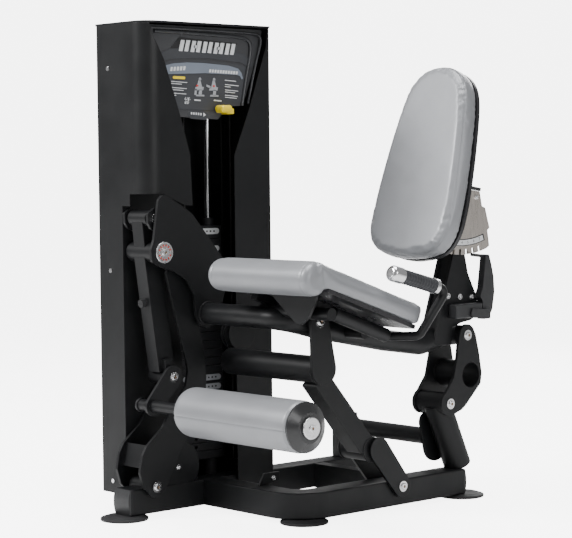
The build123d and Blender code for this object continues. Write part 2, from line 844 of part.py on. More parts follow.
def back_post():
    """Square tube that leans back from the beam, then rises to the back pad's pivot."""
    lower = plate([along(POST_FOOT, POST_KNEE, t, n) for t, n in ((0, 24), (0, -24), (256, -24), (256, 24))],
                  576, 624)
    upper = plate([along(POST_KNEE, BACK_PIVOT, t, n) for t, n in ((-16, 20), (-16, -20), (352, -20), (352, 20))],
                  576, 624)
    boss = rod_x(BACK_PIVOT, 25, 570, 630)
    return lower + upper + boss - rod_x(BACK_PIVOT, BORE_R, 500, 700)


def post_plate(x0, x1):
    pts = [(874, 761), (919, 759), (936, 690), (975, 616), (978, 560), (945, 545), (905, 540), (862, 528), (858, 476),
           (781, 480)]
    return plate(pts, x0, x1, 8)


def post_plates():
    return solids_of(post_plate(624, 632), post_plate(568, 576))


def post_bolts():
    near = [bolt_x((y, z), 632, 1, 9) for y, z in ((845, 625), (897, 620), (949, 617))]
    return solids_of(*near)


# ---------------------------------------------------------------- release lever

def lever_box():
    shell = soft_box(632.5, 668, 846, 962, 556, 600, 4)
    return shell - rod_x(LEVER_PIVOT, 8.05, 600, 700)


def lever_arm():
    pts = [(983, 748), (997, 746), (1007, 718), (1017, 680), (1021, 632), (1011, 578), (993, 549), (968, 548),
           (967, 606), (956, 619), (968, 645), (975, 693)]
    return plate(pts, 640, 664, 4)


def lever_tail():
    tail = plate([(975, 552), (975, 580), (910, 586), (904, 566), (914, 556)], 669, 675, 4)
    link = plate([(968, 550), (990, 550), (990, 582), (968, 582)], 663, 675, 4)
    pin = rod_x(LEVER_PIVOT, 8, 632.5, 670)
    return tail + link + pin


def lock_pin():
    """Cross pin at the top of the lever that drops into a notch."""
    with BuildLine() as line:
        Line((648, 990, 741), (648, 934, 748))
    path = line.line
    return sweep(Plane(origin=path @ 0, z_dir=path % 0) * Circle(5), path=path)


# ---------------------------------------------------------------- back pad

NOTCH_STEP = 5.0
NOTCH_NOW = 2.5


def arc_pt(r, deg):
    """Point at a radius from the back pivot, deg back from straight down."""
    return (BACK_PIVOT[0] + r * sin(radians(deg)), BACK_PIVOT[1] - r * cos(radians(deg)))


def sector(x0, x1):
    rim = [arc_pt(339, a) for a in (-28, -22, -15, -8, 0, 8, 14, 18)]
    rear = [(1026, 772), (1018, 821), (1028, 827), (1008, 890), (994, 895), (984, 940)]
    pts = [(758, 800)] + rim + rear + [(932, 948), (932, 1087), (884, 1087), (860, 960), (800, 950)]
    body = plate(pts, x0, x1, 3) + rod_x(BACK_PIVOT, 24, x0, x1)
    body -= rod_x(BACK_PIVOT, BORE_R, x0 - 1, x1 + 1)
    for i in range(7):
        ang = NOTCH_NOW + NOTCH_STEP * (i - 4)
        top = arc_pt(325, ang)
        low = arc_pt(347, ang)
        body -= strap(top, low, 4.6, 4.6, x0 - 1, x1 + 1)
    return body


def sectors():
    return solids_of(sector(633.5, 638.5), sector(561.5, 566.5))


def sector_spreader():
    return plate([(766, 822), (776, 820), (806, 926), (796, 930)], 566.5, 633.5)


def sector_cap():
    pts = [(800, 951), (932, 949.5), (985, 941), (987, 951), (934, 960), (802, 962)]
    return solids_of(plate(pts, 633, 641), plate(pts, 559, 567))


def back_pin():
    return rod_x(BACK_PIVOT, PIN_R, 558, 642)


def back_bolts():
    return solids_of(bolt_x(BACK_PIVOT, 642, 1, 15), bolt_x(BACK_PIVOT, 558, -1, 15), bolt_x((967, 923), 638.5, 1, 7))


def number_strip():
    steps = [-26 + 44 * i / 14 for i in range(15)]
    pts = [arc_pt(312, a) for a in steps] + [arc_pt(291, a) for a in reversed(steps)]
    return plate(pts, 638.5, 639.5)


BACK_BASE = (716.0, 744.0)
HALF = [(-12, 36), (-4, 84), (18, 134), (56, 159), (118, 169), (200, 167), (300, 158), (400, 146), (470, 133),
        (520, 115), (552, 90), (574, 57), (583, 26)]


def back_face(grow):
    right = [(w + grow, s + (grow if s > 300 else -grow)) for s, w in HALF]
    left = [(-w, s) for w, s in reversed(right)]
    with BuildLine() as line:
        Spline(*(right + left), periodic=True)
    return make_face(line.line)


def back_plane(n):
    """Plane of the back pad: x across, y up along the pad, z out of its front face."""
    y, z = lean_pt(BACK_BASE, 0, n)
    return Plane(origin=(SEAT_MID, y, z), x_dir=(1, 0, 0), z_dir=(0, -LEAN[1], LEAN[0]))


def back_board():
    return extrude(back_plane(0) * back_face(-4), BOARD_T)


def back_pad():
    pad = extrude(back_plane(-BOARD_T) * back_face(0), BACK_T)
    front = pad.faces().sort_by(Axis((0, 0, 0), (0, -LEAN[1], LEAN[0])))[-1]
    return fillet(front.edges(), 16)


def pad_brackets():
    """Angle strips that bolt the pad board to the two sector plates."""
    out = []
    for x0, x1 in ((638.5, 664), (536, 561.5)):
        pts = [lean_pt(BACK_BASE, t, n) for t, n in ((60, 0), (60, 8), (215, 8), (215, 0))]
        web = [lean_pt(BACK_BASE, t, n) for t, n in ((62, 0), (62, 60), (213, 60), (213, 0))]
        out.append(plate(pts, x0, x1) + plate(web, min(x0, x1), min(x0, x1) + 4))
    return solids_of(*out)


# ---------------------------------------------------------------- write the parts

wheel_a, wheel_b = top_pulleys()
PARTS = {
    "base_left_rail": left_rail(),
    "base_sweep_rail": sweep_rail(),
    "base_cross_rails": solids_of(cross_rail(), tower_rail()),
    "base_rail_caps": rail_caps(),
    "base_feet": feet(),
    "rear_post": rear_post(),
    "stabiliser": solids_of(stabiliser(), stabiliser_flange()),
    "base_brackets": solids_of(cable_cover(), inner_bracket()),
    "frame_fasteners": solids_of(base_bolts(), tower_screws()),
    "tower_shroud": shroud(),
    "tower_top_cap": top_cap(),
    "tower_frame": solids_of(floor_plate(), cable_anchor(), mid_pulley_bracket(), pulley_cover(), head_frame()),
    "placard_panel": placard(),
    "placard_sheets": solids_of(placard_header(), placard_sheet()),
    "guide_rods": guide_rods(),
    "stack_bumpers": stack_bumpers(),
    "stack_plates_resting": fixed_stack(),
    "stack_plates_lifted": lifted_stack(),
    "stack_head_plate": head_plate(),
    "stack_stem": stem(),
    "selector_pin": selector_pin(),
    "top_pulley_front": wheel_a,
    "top_pulley_rear": wheel_b,
    "lift_cable_run": lift_cable_run(),
    "lift_cable_return": lift_cable_return(),
    "add_on_weight": add_on_weight(),
    "add_on_knob": add_on_knob(),
    "mid_pulley": mid_pulley(),
    "boomerang_link": solids_of(boom_plate(BOOM_NEAR), boom_plate(BOOM_FAR), boom_web()),
    "boomerang_bolts": solids_of(boom_pin(), boom_bolts(), boom_top_bolts()),
    "exercise_arm": solids_of(arm_bar(), arm_stop_lug()),
    "arm_bumper": arm_bumper(),
    "roller_link": solids_of(drop_link() + roller_shaft()),
    "roller_link_bolts": solids_of(drop_pin(), drop_bolts()),
    "roller_pad": roller_pad(),
    "roller_core": roller_core(),
    "roller_end_cap": roller_cap(),
    "roller_end_disc": roller_disc(),
    "front_link_plates": solids_of(front_upper(), front_lower()),
    "front_link_frame": front_bar() + front_tube() + front_knuckle() + front_spacer(),
    "front_link_bolts": solids_of(front_pins(), front_bolts()),
    "rear_link": solids_of(rear_plate(LINK_NEAR), rear_plate(LINK_FAR), rear_cross()),
    "rear_link_bolts": solids_of(rear_pin(), rear_bolts()),
    "knee_plate": knee_plate(),
    "knee_pivot": solids_of(knee_pin(), knee_disc()),
    "carriage_beam": main_beam() + front_barrel() + rear_barrel() - rod_x(FRONT_TOP, BORE_R, 500, 700),
    "seat_frame": solids_of(seat_gusset(), seat_rails(), seat_cross()),
    "seat_board": seat_board(),
    "seat_pad": seat_pad(),
    "handlebar": handlebar() + handle_socket(),
    "hand_grip": hand_grip(),
    "grip_ends": solids_of(grip_ring(), grip_cap()),
    "back_post": solids_of(back_post(), post_plates()),
    "post_fasteners": solids_of(post_bolts(), lever_box()),
    "release_lever": solids_of(lever_arm() + lever_tail(), lock_pin()),
    "back_sectors": solids_of(sectors(), sector_spreader(), pad_brackets()),
    "sector_trim": solids_of(sector_cap(), number_strip()),
    "back_bolts": solids_of(back_pin(), back_bolts()),
    "back_board": back_board(),
    "back_pad": back_pad(),
}
for name, shape in PARTS.items():
    export(name, shape)
    low = shape.bounding_box().min
    top = shape.bounding_box().max
    print(f"{name:22s} {len(shape.solids()):3d}  {low.X:.0f} {top.X:.0f}  {low.Y:.0f} {top.Y:.0f}  {low.Z:.0f} {top.Z:.0f}")
print(len(PARTS), "parts")
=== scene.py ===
"""Looks of a seated leg extension machine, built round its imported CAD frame.

Lengths below are in millimetres in the maker's frame, whose origin is the floor under the
weight tower's front left corner; at() turns them into the row frame in metres.
"""

import json
import math
import random

import bmesh
import bpy
import numpy as np
from mathutils import Matrix, Vector, noise


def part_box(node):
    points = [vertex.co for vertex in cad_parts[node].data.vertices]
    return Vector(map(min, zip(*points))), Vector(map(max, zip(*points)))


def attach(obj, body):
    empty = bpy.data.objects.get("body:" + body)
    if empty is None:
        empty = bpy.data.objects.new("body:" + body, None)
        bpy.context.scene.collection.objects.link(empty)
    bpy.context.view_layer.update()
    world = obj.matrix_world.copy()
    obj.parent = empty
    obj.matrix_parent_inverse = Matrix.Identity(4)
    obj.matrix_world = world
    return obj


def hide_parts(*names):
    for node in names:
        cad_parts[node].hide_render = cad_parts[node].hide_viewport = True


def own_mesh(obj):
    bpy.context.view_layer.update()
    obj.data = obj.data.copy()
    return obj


random.seed(7)
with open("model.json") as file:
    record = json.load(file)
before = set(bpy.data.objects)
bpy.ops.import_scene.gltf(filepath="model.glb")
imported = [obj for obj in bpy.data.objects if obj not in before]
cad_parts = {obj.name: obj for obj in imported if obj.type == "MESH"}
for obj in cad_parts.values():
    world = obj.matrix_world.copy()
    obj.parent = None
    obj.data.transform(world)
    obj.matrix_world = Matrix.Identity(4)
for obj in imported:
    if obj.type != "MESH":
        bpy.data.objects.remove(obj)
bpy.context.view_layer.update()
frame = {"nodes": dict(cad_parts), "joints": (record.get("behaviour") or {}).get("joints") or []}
NODES = frame["nodes"]
ROW_SHIFT = (460.5, 452.0, 0.0)
X_AXIS = Vector((1, 0, 0))


def at(x, y, z):
    """Maker's millimetres to row metres."""
    return Vector(((x - ROW_SHIFT[0]) / 1000, (y - ROW_SHIFT[1]) / 1000, (z - ROW_SHIFT[2]) / 1000))


def middle(node):
    low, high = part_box(node)
    return (low + high) / 2


# ---------------------------------------------------------------- materials

class Look:
    """A Principled material with a few short ways to add procedural detail."""

    def __init__(self, name, color, roughness, metallic=0.0, **inputs):
        self.mat = bpy.data.materials.new(name)
        self.mat.use_nodes = True
        self.tree = self.mat.node_tree
        self.bsdf = self.tree.nodes["Principled BSDF"]
        self.set("Base Color", (*color, 1))
        self.set("Roughness", roughness)
        self.set("Metallic", metallic)
        for key, value in inputs.items():
            self.set(key.replace("_", " "), value)
        self.color = color
        self.roughness = roughness
        self.coord = self.tree.nodes.new("ShaderNodeTexCoord").outputs["Object"]
        self.normal = None

    def set(self, socket, value):
        self.bsdf.inputs[socket].default_value = value

    def link(self, source, socket):
        self.tree.links.new(source, socket)

    def stretched(self, scale):
        node = self.tree.nodes.new("ShaderNodeMapping")
        node.inputs["Scale"].default_value = scale
        self.link(self.coord, node.inputs["Vector"])
        return node.outputs["Vector"]

    def noise(self, scale, detail=3.0, stretch=None):
        node = self.tree.nodes.new("ShaderNodeTexNoise")
        node.inputs["Scale"].default_value = scale
        node.inputs["Detail"].default_value = detail
        self.link(self.stretched(stretch) if stretch else self.coord, node.inputs["Vector"])
        return node.outputs["Fac"]

    def cells(self, scale, feature="SMOOTH_F1"):
        node = self.tree.nodes.new("ShaderNodeTexVoronoi")
        node.feature = feature
        node.inputs["Scale"].default_value = scale
        self.link(self.coord, node.inputs["Vector"])
        return node.outputs["Distance"]

    def spread(self, value, low, high):
        node = self.tree.nodes.new("ShaderNodeMapRange")
        node.inputs["From Min"].default_value = 0.3
        node.inputs["From Max"].default_value = 0.7
        node.inputs["To Min"].default_value = low
        node.inputs["To Max"].default_value = high
        self.link(value, node.inputs["Value"])
        return node.outputs["Result"]

    def vary_roughness(self, value, amount):
        varied = self.spread(value, self.roughness - amount, self.roughness + amount)
        self.link(varied, self.bsdf.inputs["Roughness"])
        return self

    def vary_color(self, value, other):
        node = self.tree.nodes.new("ShaderNodeMix")
        node.data_type = "RGBA"
        node.inputs["A"].default_value = (*self.color, 1)
        node.inputs["B"].default_value = (*other, 1)
        self.link(self.spread(value, 0, 1), node.inputs["Factor"])
        self.link(node.outputs["Result"], self.bsdf.inputs["Base Color"])
        return self

    def bump(self, height, strength, distance):
        node = self.tree.nodes.new("ShaderNodeBump")
        node.inputs["Strength"].default_value = strength
        node.inputs["Distance"].default_value = distance
        self.link(height, node.inputs["Height"])
        if self.normal:
            self.link(self.normal, node.inputs["Normal"])
        self.normal = node.outputs["Normal"]
        self.link(self.normal, self.bsdf.inputs["Normal"])
        return self

    def soft_edges(self, radius):
        node = self.tree.nodes.new("ShaderNodeBevel")
        node.samples = 4
        node.inputs["Radius"].default_value = radius
        self.normal = node.outputs["Normal"]
        self.link(self.normal, self.bsdf.inputs["Normal"])
        return self


def powder(name, color, roughness, edge=0.0016):
    """Satin powder coat: fine orange peel, faint handling marks."""
    look = Look(name, color, roughness, Specular_IOR_Level=0.3).soft_edges(edge)
    look.bump(look.noise(850, 2), 0.16, 0.0004)
    look.bump(look.noise(60, 3), 0.05, 0.001)
    look.vary_roughness(look.noise(9, 5), 0.07)
    look.vary_color(look.noise(4, 4), [c * 1.3 + 0.001 for c in color])
    return look.mat


def vinyl(name, color):
    """Pearl silver upholstery vinyl with a fine pebble grain."""
    look = Look(name, color, 0.4, 0.25, Coat_Weight=0.12, Coat_Roughness=0.35, Specular_IOR_Level=0.45)
    look.bump(look.cells(620), 0.16, 0.0003)
    look.bump(look.noise(1500, 2), 0.1, 0.0002)
    look.bump(look.noise(16, 3), 0.12, 0.004)
    look.vary_roughness(look.noise(14, 4), 0.06)
    look.vary_color(look.noise(5, 4), [c * 0.86 for c in color])
    return look.mat


def metal(name, color, roughness, grain=None, scale=500, strength=0.08):
    look = Look(name, color, roughness, 1.0).soft_edges(0.0006)
    look.bump(look.noise(scale, 3, grain), strength, 0.0003)
    look.vary_roughness(look.noise(scale * 0.4, 4, grain), roughness * 0.35)
    return look.mat


def plastic(name, color, roughness, grain=900, strength=0.12, edge=0.001):
    look = Look(name, color, roughness).soft_edges(edge)
    look.bump(look.noise(grain, 2), strength, 0.0003)
    look.vary_roughness(look.noise(18, 4), 0.06)
    look.vary_color(look.noise(7, 3), [c * 1.18 for c in color])
    return look.mat


def rubber(name, color, roughness=0.62):
    look = Look(name, color, roughness, Specular_IOR_Level=0.35).soft_edges(0.0008)
    look.bump(look.noise(700, 3), 0.25, 0.0004)
    look.bump(look.noise(40, 4), 0.1, 0.001)
    look.vary_color(look.noise(22, 5), [c * 1.6 for c in color])
    return look.mat


FRAME_COAT = powder("frame_coat", (0.0045, 0.0048, 0.0055), 0.44)
SHROUD_COAT = powder("shroud_coat", (0.0055, 0.0058, 0.0064), 0.42, 0.002)
VINYL = vinyl("silver_vinyl", (0.27, 0.277, 0.292))
THREAD = plastic("seam_thread", (0.19, 0.197, 0.21), 0.6)
CHROME = metal("chrome", (0.82, 0.82, 0.83), 0.13, scale=260, strength=0.04)
SOCKET = metal("socket_steel", (0.20, 0.13, 0.085), 0.34)
ROD = metal("ground_rod", (0.78, 0.79, 0.8), 0.12, (1, 1, 0.02), 900, 0.05)
STAINLESS = metal("brushed_stainless", (0.66, 0.61, 0.56), 0.33, (1, 1, 0.03), 1400, 0.12)
DISC = metal("turned_aluminium", (0.74, 0.74, 0.75), 0.24, scale=420)
STACK = powder("stack_paint", (0.017, 0.0175, 0.019), 0.5)
CAP = plastic("cap_plastic", (0.02, 0.0205, 0.022), 0.4)
CONE = plastic("roller_cap_plastic", (0.02, 0.0205, 0.0215), 0.22, 1100, 0.05)
PANEL = plastic("moulded_panel", (0.046, 0.047, 0.05), 0.34, 700, 0.14)
RIM = plastic("moulded_rim", (0.03, 0.031, 0.034), 0.22)
HEADER = plastic("header_print", (0.16, 0.185, 0.225), 0.4, 400, 0.03)
SHEET = plastic("sheet_print", (0.04, 0.042, 0.047), 0.42, 400, 0.03)
WHITE = plastic("white_print", (0.62, 0.63, 0.64), 0.45, 400, 0.03)
GREY = plastic("grey_print", (0.3, 0.31, 0.33), 0.5, 400, 0.03)
RED = plastic("red_print", (0.55, 0.035, 0.025), 0.45, 400, 0.03)
YELLOW = plastic("yellow_plastic", (0.84, 0.62, 0.01), 0.3, 500, 0.05)
BLACK = plastic("black_print", (0.012, 0.012, 0.013), 0.4)
BOARD = plastic("pad_board", (0.016, 0.016, 0.018), 0.3)
RUBBER = rubber("foot_rubber", (0.013, 0.013, 0.014))
GRIP = rubber("grip_rubber", (0.026, 0.027, 0.03), 0.55)
CABLE = plastic("cable_jacket", (0.02, 0.02, 0.02), 0.35, 1500, 0.1)

CAD_LOOKS = {
    FRAME_COAT: ("base_left_rail", "base_sweep_rail", "base_cross_rails", "rear_post", "stabiliser",
                 "base_brackets", "tower_frame", "boomerang_link", "exercise_arm", "roller_link",
                 "front_link_plates", "front_link_frame", "rear_link", "knee_plate", "carriage_beam",
                 "seat_frame", "handlebar", "back_post"),
    SHROUD_COAT: ("tower_shroud", "tower_top_cap"),
    CHROME: ("frame_fasteners", "boomerang_bolts", "roller_link_bolts", "front_link_bolts", "rear_link_bolts",
             "back_bolts", "grip_ends", "post_fasteners"),
    ROD: ("guide_rods", "stack_stem"),
    STAINLESS: ("back_sectors", "selector_pin"),
    DISC: ("roller_end_disc", "knee_pivot"),
    STACK: ("stack_plates_resting", "stack_plates_lifted", "stack_head_plate", "add_on_weight"),
    CAP: ("base_rail_caps", "release_lever", "roller_core", "sector_trim", "top_pulley_front",
          "top_pulley_rear", "mid_pulley"),
    CONE: ("roller_end_cap",),
    PANEL: ("placard_panel",),
    SHEET: ("placard_sheets",),
    YELLOW: ("add_on_knob",),
    BOARD: ("seat_board", "back_board"),
    RUBBER: ("base_feet", "stack_bumpers", "arm_bumper"),
    GRIP: ("hand_grip",),
    CABLE: ("lift_cable_run", "lift_cable_return"),
}
for look, names in CAD_LOOKS.items():
    for node in names:
        NODES[node].data.materials.clear()
        NODES[node].data.materials.append(look)


def box_finish():
    """The lever box is black plastic; only the bolts beside it are bright."""
    mesh = NODES["post_fasteners"].data
    mesh.materials.append(CAP)
    low, high = at(*LEVER_BOX[0]), at(*LEVER_BOX[1])
    for face in mesh.polygons:
        if all(low[i] < face.center[i] < high[i] for i in range(3)):
            face.material_index = 1


LEVER_BOX = ((623, 844, 554), (670, 964, 602))
box_finish()


# ---------------------------------------------------------------- mesh pieces

class Piece:
    """Gathers verts and faces in the row frame, then makes one object that rides a body."""

    def __init__(self):
        self.verts = []
        self.faces = []

    def add(self, verts, faces):
        start = len(self.verts)
        self.verts += [tuple(v) for v in verts]
        self.faces += [tuple(start + i for i in f) for f in faces]

    def make(self, name, mat, body, smooth=True):
        mesh = bpy.data.meshes.new(name)
        mesh.from_pydata(self.verts, [], self.faces)
        bm = bmesh.new()
        bm.from_mesh(mesh)
        bmesh.ops.recalc_face_normals(bm, faces=bm.faces)
        bm.to_mesh(mesh)
        bm.free()
        mesh.polygons.foreach_set("use_smooth", [smooth] * len(mesh.polygons))
        mesh.materials.append(mat)
        obj = bpy.data.objects.new(name, mesh)
        bpy.context.collection.objects.link(obj)
        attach(obj, body)
        return obj


def cross_axes(axis):
    axis = Vector(axis).normalized()
    side = axis.cross(Vector((0, 0, 1)) if abs(axis.z) < 0.9 else Vector((0, 1, 0))).normalized()
    return axis, side, axis.cross(side)


def lathe(piece, centre, axis, profile, steps=48, shape=None):
    """Turns (along, radius) pairs in mm about an axis; shape(along, angle) adds to the radius."""
    axis, side, other = cross_axes(axis)
    verts = []
    for along, radius in profile:
        for i in range(steps):
            a = math.tau * i / steps
            r = radius + (shape(along, a) if shape else 0)
            verts.append(centre + (axis * along + (side * math.cos(a) + other * math.sin(a)) * r) / 1000)
    faces = []
    for j in range(len(profile) - 1):
        for i in range(steps):
            n = (i + 1) % steps
            faces.append((j * steps + i, j * steps + n, (j + 1) * steps + n, (j + 1) * steps + i))
    faces.append(range(steps))
    faces.append(range((len(profile) - 1) * steps, len(profile) * steps))
    piece.add(verts, faces)


def sweep(piece, points, radius, sides=8, closed=False, ripple=0.0):
    """A round tube in mm radius along row-frame points."""
    count = len(points)
    verts = []
    lift = Vector((0, 0, 1))
    for i, p in enumerate(points):
        ahead = points[(i + 1) % count] if closed or i < count - 1 else p
        behind = points[i - 1] if closed or i > 0 else p
        way = (ahead - behind).normalized()
        lift = lift - way * lift.dot(way)
        if lift.length < 1e-6:
            lift = way.orthogonal()
        lift.normalize()
        side = way.cross(lift)
        r = radius / 1000 * (1 + ripple * math.sin(i * 1.6))
        for k in range(sides):
            a = math.tau * k / sides
            verts.append(p + (side * math.cos(a) + lift * math.sin(a)) * r)
    faces = []
    for i in range(count if closed else count - 1):
        n = (i + 1) % count
        for k in range(sides):
            m = (k + 1) % sides
            faces.append((i * sides + k, i * sides + m, n * sides + m, n * sides + k))
    if not closed:
        faces.append(range(sides))
        faces.append(range((count - 1) * sides, count * sides))
    piece.add(verts, faces)


def prism(piece, outline, x0, x1):
    """(Y, Z) outline in mm, made solid from x0 to x1."""
    n = len(outline)
    piece.add([at(x, y, z) for x in (x0, x1) for y, z in outline],
              [range(n), range(n, 2 * n)] + [(i, (i + 1) % n, n + (i + 1) % n, n + i) for i in range(n)])


def round_bar(y0, y1, z0, z1, lean=0.0, steps=6):
    """Outline of a bar with round ends; lean is its rise per mm of Y."""
    r = (z1 - z0) / 2
    mid = (z0 + z1) / 2
    out = []
    for centre, start in ((y1 - r, -90), (y0 + r, 90)):
        for i in range(steps + 1):
            a = math.radians(start + 180 * i / steps)
            y = centre + r * math.cos(a)
            out.append((y, mid + r * math.sin(a) + lean * (y - y0)))
    return out


def slab(y0, y1, z0, z1, slant=0.0, lean=0.0):
    """Outline of a parallelogram: slant shifts the top along Y, lean lifts the far end."""
    return [(y0, z0), (y1, z0 + lean * (y1 - y0)), (y1 + slant, z1 + lean * (y1 - y0)), (y0 + slant, z1)]


# ---------------------------------------------------------------- upholstery

def soft_copy(node, name, voxel, shrink, pressure, cap, frames):
    """The CAD solid's mesh, remeshed, drawn in, puffed up as cloth by cap mm at most, and smoothed."""
    mesh = NODES[node].data.copy()
    bm = bmesh.new()
    bm.from_mesh(mesh)
    bmesh.ops.remove_doubles(bm, verts=bm.verts, dist=1e-5)
    bm.to_mesh(mesh)
    bm.free()
    obj = bpy.data.objects.new(name, mesh)
    bpy.context.collection.objects.link(obj)
    bpy.context.view_layer.objects.active = obj
    remesh = obj.modifiers.new("remesh", "REMESH")
    remesh.mode = "VOXEL"
    remesh.voxel_size = voxel / 1000
    bake(obj)
    inward(obj, shrink)
    rest = points_of(obj)
    puff(obj, pressure, frames)
    moved = points_of(obj) - rest
    length = np.linalg.norm(moved, axis=1, keepdims=True)
    moved *= np.minimum(1, cap / 1000 / np.maximum(length, 1e-9))
    put_points(obj, rest + moved)
    smooth = obj.modifiers.new("smooth", "SMOOTH")
    smooth.iterations = 2
    smooth.factor = 0.5
    divide = obj.modifiers.new("divide", "SUBSURF")
    divide.levels = divide.render_levels = 1
    bake(obj)
    obj.data.polygons.foreach_set("use_smooth", [True] * len(obj.data.polygons))
    obj.data.materials.clear()
    obj.data.materials.append(VINYL)
    return obj


def bake(obj):
    """Applies every modifier to the mesh."""
    graph = bpy.context.evaluated_depsgraph_get()
    mesh = bpy.data.meshes.new_from_object(obj.evaluated_get(graph))
    obj.modifiers.clear()
    obj.data = mesh


def points_of(obj):
    co = np.zeros(len(obj.data.vertices) * 3, np.float32)
    obj.data.vertices.foreach_get("co", co)
    return co.reshape(-1, 3).astype(float)


def normals_of(obj):
    no = np.zeros(len(obj.data.vertices) * 3, np.float32)
    obj.data.vertices.foreach_get("normal", no)
    return no.reshape(-1, 3).astype(float)


def put_points(obj, co):
    obj.data.vertices.foreach_set("co", co.astype(np.float32).ravel())
    obj.data.update()


def inward(obj, depth):
    put_points(obj, points_of(obj) - normals_of(obj) * depth / 1000)


def puff(obj, pressure, frames):
    cloth = obj.modifiers.new("cloth", "CLOTH")
    cloth.settings.use_pressure = True
    cloth.settings.uniform_pressure_force = pressure
    cloth.settings.effector_weights.gravity = 0
    cloth.settings.quality = 5
    cloth.point_cache.frame_start = 1
    cloth.point_cache.frame_end = frames
    for number in range(1, frames + 1):
        bpy.context.scene.frame_set(number)
    bake(obj)
    bpy.context.scene.frame_set(1)


def rest_on(obj, board, tilt):
    """Presses whatever puffs past the board's face back onto it; tilt is the face's normal."""
    normal = np.array(tilt)
    along = np.cross(X_AXIS, normal)
    points = points_of(NODES[board])
    co = points_of(obj)
    sunk = np.maximum(0, (points @ normal).max() - co @ normal)
    reach = co @ along
    sunk *= (reach > (points @ along).min() - 0.003) & (reach < (points @ along).max() + 0.003)
    put_points(obj, co + sunk[:, None] * normal)


def groove(obj, distance, depth, width, pucker=0.0):
    """Draws the cover in along a seam; distance holds each vertex's mm from the seam."""
    co = points_of(obj)
    pull = depth * np.exp(-(distance / width) ** 2)
    if pucker:
        wave = np.array([noise.noise(Vector(p) * 160) for p in co])
        pull = pull + pucker * wave * np.exp(-(distance / (width * 4)) ** 2)
    put_points(obj, co - normals_of(obj) * pull[:, None] / 1000)


def seam_loop(obj, point, normal):
    """Points of the mesh's outline in a plane, in order round its middle."""
    bm = bmesh.new()
    bm.from_mesh(obj.data)
    geom = bm.verts[:] + bm.edges[:] + bm.faces[:]
    cut = bmesh.ops.bisect_plane(bm, geom=geom, plane_co=point, plane_no=normal)["geom_cut"]
    found = [v.co.copy() for v in cut if isinstance(v, bmesh.types.BMVert)]
    bm.free()
    _, side, other = cross_axes(normal)
    centre = sum(found, Vector()) / len(found)
    return sorted(found, key=lambda p: math.atan2((p - centre).dot(other), (p - centre).dot(side)))


def stitches(piece, points, pitch=5.0, length=3.2, radius=0.45):
    """Short threads laid along a row of points."""
    walked = 0.0
    due = 0.0
    for a, b in zip(points, points[1:]):
        step = (b - a).length * 1000
        if step > 12:
            continue
        while due <= walked + step and step > 0:
            way = (b - a).normalized()
            mid = a + way * (due - walked) / 1000
            ends = [mid - way * length / 2000, mid, mid + way * length / 2000]
            sweep(piece, ends, radius, 5)
            due += pitch
        walked += step


def seat():
    low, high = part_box("seat_pad")
    pad = soft_copy("seat_pad", "seat_cushion", voxel=5, shrink=2.2, pressure=4, cap=5, frames=14)
    rest_on(pad, "seat_board", (0, math.sin(SEAT_LEAN), math.cos(SEAT_LEAN)))
    inset = 0.027
    underside = low.z + 0.012
    threads = Piece()
    for x in (low.x + inset, high.x - inset):
        groove(pad, (points_of(pad)[:, 0] - x) * 1000, depth=1.5, width=3.0, pucker=0.5)
        loop = seam_loop(pad, Vector((x, 0, 0)), X_AXIS)
        stitches(threads, [p for p in loop if p.z > underside])
    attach(pad, "carriage")
    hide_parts("seat_pad")
    threads.make("seat_threads", THREAD, "carriage")


def back():
    pad = soft_copy("back_pad", "back_cushion", voxel=5, shrink=2.2, pressure=4, cap=5, frames=14)
    lean = Vector((0, -math.cos(BACK_LEAN), math.sin(BACK_LEAN)))
    rest_on(pad, "back_board", lean)
    forward = points_of(pad) @ np.array(lean)
    seam = forward.max() - 0.013
    groove(pad, (forward - seam) * 1000, depth=1.1, width=2.6, pucker=0.35)
    threads = Piece()
    stitches(threads, seam_loop(pad, lean * seam, lean))
    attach(pad, "backrest")
    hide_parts("back_pad")
    threads.make("back_threads", THREAD, "backrest")


SEAT_LEAN = math.radians(19.8)
BACK_LEAN = math.radians(17.0)


def roller():
    low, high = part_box("roller_pad")
    pad = soft_copy("roller_pad", "roller_cushion", voxel=5, shrink=1.2, pressure=3, cap=2, frames=8)
    centre = middle("roller_pad")
    co = points_of(pad)
    angle = np.arctan2(co[:, 2] - centre.z, -(co[:, 1] - centre.y))
    radius = np.hypot(co[:, 2] - centre.z, co[:, 1] - centre.y)
    in_core = radius < 0.03
    groove(pad, (angle - ROLLER_SEAM) * radius * 1000 + 1000 * in_core, depth=1.1, width=2.6, pucker=0.3)
    groove(pad, (co[:, 0] - high.x + 0.006) * 1000, depth=1.2, width=3.0, pucker=0.5)
    across = Vector((0, -math.cos(ROLLER_SEAM), math.sin(ROLLER_SEAM)))
    reach = max(p.dot(across) for p in map(Vector, co - np.array(centre)))
    first, last = low.x + 0.03, high.x - 0.006
    count = 100
    run = []
    for i in range(count):
        x = first + (last - first) * i / (count - 1)
        run.append(Vector((x, centre.y, centre.z)) + across * (reach - 0.0006))
    threads = Piece()
    stitches(threads, run)
    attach(pad, "roller")
    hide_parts("roller_pad")
    threads.make("roller_threads", THREAD, "roller")


ROLLER_SEAM = math.radians(-4)
seat()
back()
roller()


# ---------------------------------------------------------------- lift cable

def lift_cable():
    low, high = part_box("lift_cable_run")
    centre = (low + high) / 2
    run = Piece()
    points = [Vector((centre.x, centre.y, low.z + (high.z - low.z) * i / 160)) for i in range(161)]
    sweep(run, points, 2.5, 10, ripple=0.05)
    cable = run.make("lift_cable", CABLE, "base")
    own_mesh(cable)
    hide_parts("lift_cable_run")


lift_cable()


# ---------------------------------------------------------------- bolt sockets

